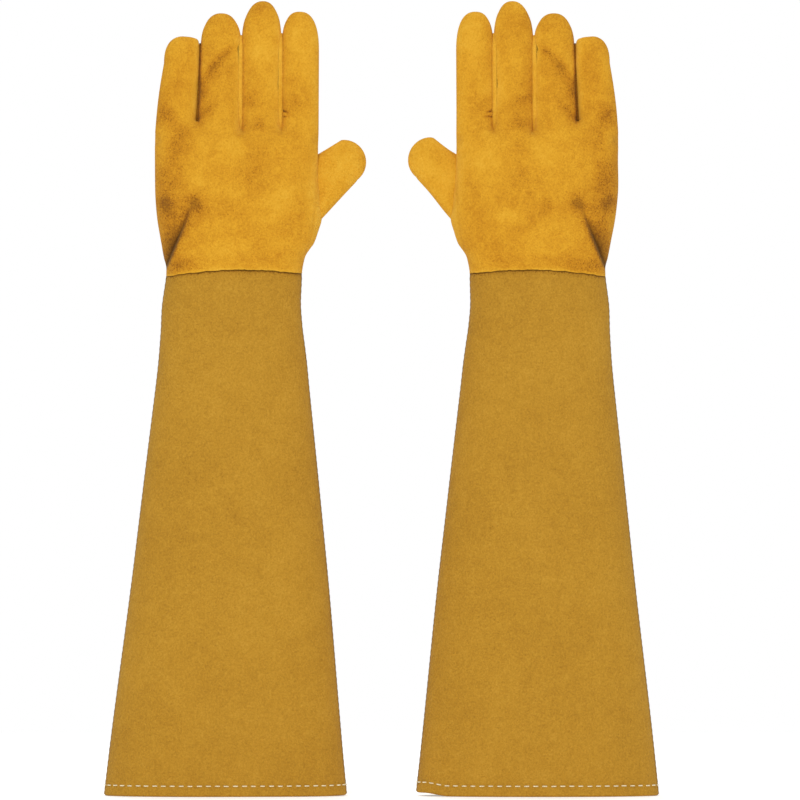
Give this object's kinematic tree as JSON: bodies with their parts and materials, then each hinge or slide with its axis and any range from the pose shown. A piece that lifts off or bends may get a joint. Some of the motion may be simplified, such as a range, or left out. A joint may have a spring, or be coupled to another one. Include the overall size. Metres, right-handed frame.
{
  "type": "beekeeping gauntlet gloves",
  "caption": "Pair of long beekeeping gauntlet gloves in yellow suede split leather, with jointed wrists, fingers and thumbs and flared forearm cuffs.",
  "frame": {"origin": "on the ground, in the middle of the pair, between the two cuff mouths", "axes": "+Z from the cuff mouths up to the fingertips, -Y towards the backs of the hands, +Y towards the palms, +X from the left glove to the right glove"},
  "size_m": [0.4183, 0.0708, 0.5996],
  "materials": {
    "hand_leather": "golden yellow suede split leather, napped, with darker orange mottling",
    "cuff_leather": "darker mustard suede split leather, short even nap",
    "lining": "plain undyed cotton",
    "hem_thread": "cream cotton thread, matt",
    "seam_thread": "yellow-brown thread, matt"
  },
  "bodies": {
    "left_cuff": {"left_cuff_back": "cuff_leather", "left_cuff_palm": "cuff_leather", "left_cuff_lining": "lining", "left_hem_stitching": "hem_thread", "left_cuff_inner_seam": "seam_thread", "left_cuff_outer_seam": "seam_thread"},
    "left_hand": {"left_hand_back": "hand_leather", "left_hand_palm": "hand_leather", "left_hand_lining": "lining", "left_wrist_stitching": "seam_thread"},
    "left_thumb": {"left_thumb_back": "hand_leather", "left_thumb_front": "hand_leather"},
    "left_index_base": {"left_index_base_back": "hand_leather", "left_index_base_front": "hand_leather"},
    "left_index_tip": {"left_index_tip_back": "hand_leather", "left_index_tip_front": "hand_leather"},
    "left_middle_base": {"left_middle_base_back": "hand_leather", "left_middle_base_front": "hand_leather"},
    "left_middle_tip": {"left_middle_tip_back": "hand_leather", "left_middle_tip_front": "hand_leather"},
    "left_ring_base": {"left_ring_base_back": "hand_leather", "left_ring_base_front": "hand_leather"},
    "left_ring_tip": {"left_ring_tip_back": "hand_leather", "left_ring_tip_front": "hand_leather"},
    "left_little_base": {"left_little_base_back": "hand_leather", "left_little_base_front": "hand_leather"},
    "left_little_tip": {"left_little_tip_back": "hand_leather", "left_little_tip_front": "hand_leather"},
    "right_cuff": {"right_cuff_back": "cuff_leather", "right_cuff_palm": "cuff_leather", "right_cuff_lining": "lining", "right_hem_stitching": "hem_thread", "right_cuff_inner_seam": "seam_thread", "right_cuff_outer_seam": "seam_thread"},
    "right_hand": {"right_hand_back": "hand_leather", "right_hand_palm": "hand_leather", "right_hand_lining": "lining", "right_wrist_stitching": "seam_thread"},
    "right_thumb": {"right_thumb_back": "hand_leather", "right_thumb_front": "hand_leather"},
    "right_index_base": {"right_index_base_back": "hand_leather", "right_index_base_front": "hand_leather"},
    "right_index_tip": {"right_index_tip_back": "hand_leather", "right_index_tip_front": "hand_leather"},
    "right_middle_base": {"right_middle_base_back": "hand_leather", "right_middle_base_front": "hand_leather"},
    "right_middle_tip": {"right_middle_tip_back": "hand_leather", "right_middle_tip_front": "hand_leather"},
    "right_ring_base": {"right_ring_base_back": "hand_leather", "right_ring_base_front": "hand_leather"},
    "right_ring_tip": {"right_ring_tip_back": "hand_leather", "right_ring_tip_front": "hand_leather"},
    "right_little_base": {"right_little_base_back": "hand_leather", "right_little_base_front": "hand_leather"},
    "right_little_tip": {"right_little_tip_back": "hand_leather", "right_little_tip_front": "hand_leather"}
  },
  "joints": [
    {"name": "left_wrist_flex", "type": "hinge", "parent": "left_cuff", "child": "left_hand", "pos_m": [-0.1099, 0, 0.394], "axis": [-1, 0, 0], "range_deg": [-35, 45]},
    {"name": "left_index_knuckle_flex", "type": "hinge", "parent": "left_hand", "child": "left_index_base", "pos_m": [-0.0615, 0.004, 0.504], "axis": [-1, 0, 0], "range_deg": [-15, 80]},
    {"name": "left_index_finger_flex", "type": "hinge", "parent": "left_index_base", "child": "left_index_tip", "pos_m": [-0.0615, 0.004, 0.55], "axis": [-1, 0, 0], "range_deg": [0, 85]},
    {"name": "left_middle_knuckle_flex", "type": "hinge", "parent": "left_hand", "child": "left_middle_base", "pos_m": [-0.0905, 0.004, 0.504], "axis": [-1, 0, 0], "range_deg": [-15, 80]},
    {"name": "left_middle_finger_flex", "type": "hinge", "parent": "left_middle_base", "child": "left_middle_tip", "pos_m": [-0.0904, 0.004, 0.554], "axis": [-1, 0, 0], "range_deg": [0, 85]},
    {"name": "left_ring_knuckle_flex", "type": "hinge", "parent": "left_hand", "child": "left_ring_base", "pos_m": [-0.1213, 0.004, 0.504], "axis": [-1, 0, 0], "range_deg": [-15, 80]},
    {"name": "left_ring_finger_flex", "type": "hinge", "parent": "left_ring_base", "child": "left_ring_tip", "pos_m": [-0.121, 0.004, 0.549], "axis": [-1, 0, 0], "range_deg": [0, 85]},
    {"name": "left_little_knuckle_flex", "type": "hinge", "parent": "left_hand", "child": "left_little_base", "pos_m": [-0.1524, 0.004, 0.504], "axis": [-1, 0, 0], "range_deg": [-15, 80]},
    {"name": "left_little_finger_flex", "type": "hinge", "parent": "left_little_base", "child": "left_little_tip", "pos_m": [-0.1512, 0.004, 0.537], "axis": [-1, 0, 0], "range_deg": [0, 85]},
    {"name": "left_thumb_swing", "type": "hinge", "parent": "left_hand", "child": "left_thumb", "pos_m": [-0.0475, 0.008, 0.465], "axis": [0, 0, 1], "range_deg": [-12, 60]},
    {"name": "right_wrist_flex", "type": "hinge", "parent": "right_cuff", "child": "right_hand", "pos_m": [0.1165, 0, 0.394], "axis": [-1, 0, 0], "range_deg": [-35, 45]},
    {"name": "right_index_knuckle_flex", "type": "hinge", "parent": "right_hand", "child": "right_index_base", "pos_m": [0.0681, 0.004, 0.504], "axis": [-1, 0, 0], "range_deg": [-15, 80]},
    {"name": "right_index_finger_flex", "type": "hinge", "parent": "right_index_base", "child": "right_index_tip", "pos_m": [0.0681, 0.004, 0.55], "axis": [-1, 0, 0], "range_deg": [0, 85]},
    {"name": "right_middle_knuckle_flex", "type": "hinge", "parent": "right_hand", "child": "right_middle_base", "pos_m": [0.0971, 0.004, 0.504], "axis": [-1, 0, 0], "range_deg": [-15, 80]},
    {"name": "right_middle_finger_flex", "type": "hinge", "parent": "right_middle_base", "child": "right_middle_tip", "pos_m": [0.097, 0.004, 0.554], "axis": [-1, 0, 0], "range_deg": [0, 85]},
    {"name": "right_ring_knuckle_flex", "type": "hinge", "parent": "right_hand", "child": "right_ring_base", "pos_m": [0.1279, 0.004, 0.504], "axis": [-1, 0, 0], "range_deg": [-15, 80]},
    {"name": "right_ring_finger_flex", "type": "hinge", "parent": "right_ring_base", "child": "right_ring_tip", "pos_m": [0.1276, 0.004, 0.549], "axis": [-1, 0, 0], "range_deg": [0, 85]},
    {"name": "right_little_knuckle_flex", "type": "hinge", "parent": "right_hand", "child": "right_little_base", "pos_m": [0.159, 0.004, 0.504], "axis": [-1, 0, 0], "range_deg": [-15, 80]},
    {"name": "right_little_finger_flex", "type": "hinge", "parent": "right_little_base", "child": "right_little_tip", "pos_m": [0.1578, 0.004, 0.537], "axis": [-1, 0, 0], "range_deg": [0, 85]},
    {"name": "right_thumb_swing", "type": "hinge", "parent": "right_hand", "child": "right_thumb", "pos_m": [0.0541, 0.008, 0.465], "axis": [0, 0, -1], "range_deg": [-12, 60]},
    {"name": "pair_spacing", "type": "slide", "parent": "left_cuff", "child": "right_cuff", "axis": [1, 0, 0], "range_m": [-0.02, 0.25]}
  ]
}
